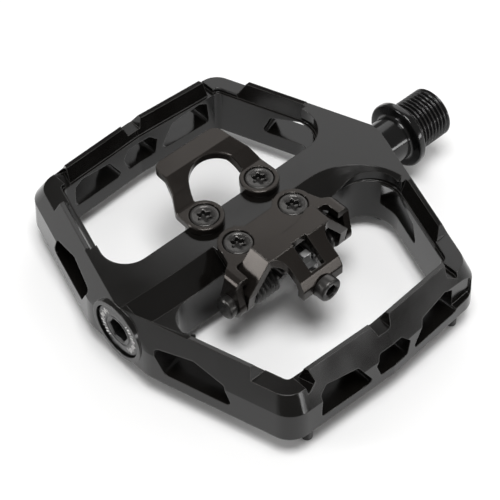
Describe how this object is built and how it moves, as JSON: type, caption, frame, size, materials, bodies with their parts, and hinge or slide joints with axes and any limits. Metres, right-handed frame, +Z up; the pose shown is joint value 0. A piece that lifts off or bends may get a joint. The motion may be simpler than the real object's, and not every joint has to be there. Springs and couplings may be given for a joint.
{
  "type": "clipless pedal",
  "caption": "Platform clipless bicycle pedal: open cage turning on a threaded spindle, sprung cleat binding on top and traction pins beneath.",
  "frame": {"origin": "centre of the crank-side shoulder face, on the spindle axis", "axes": "+X along the thread towards the crank, +Y towards the toe, +Z up, with the binding on top"},
  "size_m": [0.1129, 0.1036, 0.0291],
  "materials": {
    "cage_anodised": "black anodised, satin",
    "cap_anodised": "black anodised, etched ring",
    "spindle_black": "black oxide, glossy",
    "plate_black": "black plated pressed steel, satin",
    "screw_black": "black zinc, satin",
    "pin_black": "black oxide",
    "spring_black": "black coated wire",
    "bearing_steel": "polished",
    "nut_steel": "zinc plated",
    "rubber_black": "matte",
    "bush_polymer": "smooth"
  },
  "bodies": {
    "spindle_side": {"spindle": "spindle_black", "bearing_inner_races": "bearing_steel", "spindle_washer": "nut_steel", "spindle_lock_nut": "nut_steel"},
    "ball_sets": {"bearing_balls": "bearing_steel"},
    "platform": {"cage": "cage_anodised", "bearing_outer_races": "bearing_steel", "end_cap": "cap_anodised", "cap_o_ring": "rubber_black", "inboard_bush": "bush_polymer", "inboard_seal": "rubber_black", "traction_pins": "pin_black", "toe_claw": "plate_black", "toe_claw_screws": "screw_black", "rear_plate": "plate_black", "rear_plate_screws": "screw_black", "jaw_pin": "screw_black", "pin_clip": "screw_black", "springs": "spring_black"},
    "jaw_body": {"jaw": "plate_black"},
    "adjuster": {"adjuster_screw": "screw_black"},
    "nut": {"tension_nut": "nut_steel"}
  },
  "joints": [
    {"name": "cage_spin", "type": "hinge", "parent": "spindle_side", "child": "platform", "pos_m": [-0.05, 0, 0], "axis": [1, 0, 0], "continuous": true},
    {"name": "ball_orbit", "type": "hinge", "parent": "spindle_side", "child": "ball_sets", "pos_m": [-0.0897, 0, 0], "axis": [1, 0, 0], "continuous": true},
    {"name": "jaw_pivot", "type": "hinge", "parent": "platform", "child": "jaw_body", "pos_m": [-0.0562, -0.014, 0.002], "axis": [1, 0, 0], "range_deg": [0, 16], "stiffness_Nm_per_rad": 4, "springref_deg": -22.92},
    {"name": "adjuster_turn", "type": "hinge", "parent": "jaw_body", "child": "adjuster", "pos_m": [-0.0562, -0.0269, 0.0052], "axis": [0, -1, 0], "range_deg": [0, 1028.6]},
    {"name": "nut_travel", "type": "slide", "parent": "jaw_body", "child": "nut", "axis": [0, -1, 0], "range_m": [0, 0.002]}
  ],
  "couplings": [
    {"joint": "ball_orbit", "follows": "cage_spin", "ratio": 0.56},
    {"joint": "adjuster_turn", "follows": "nut_travel", "rad_per_m": 8976}
  ]
}
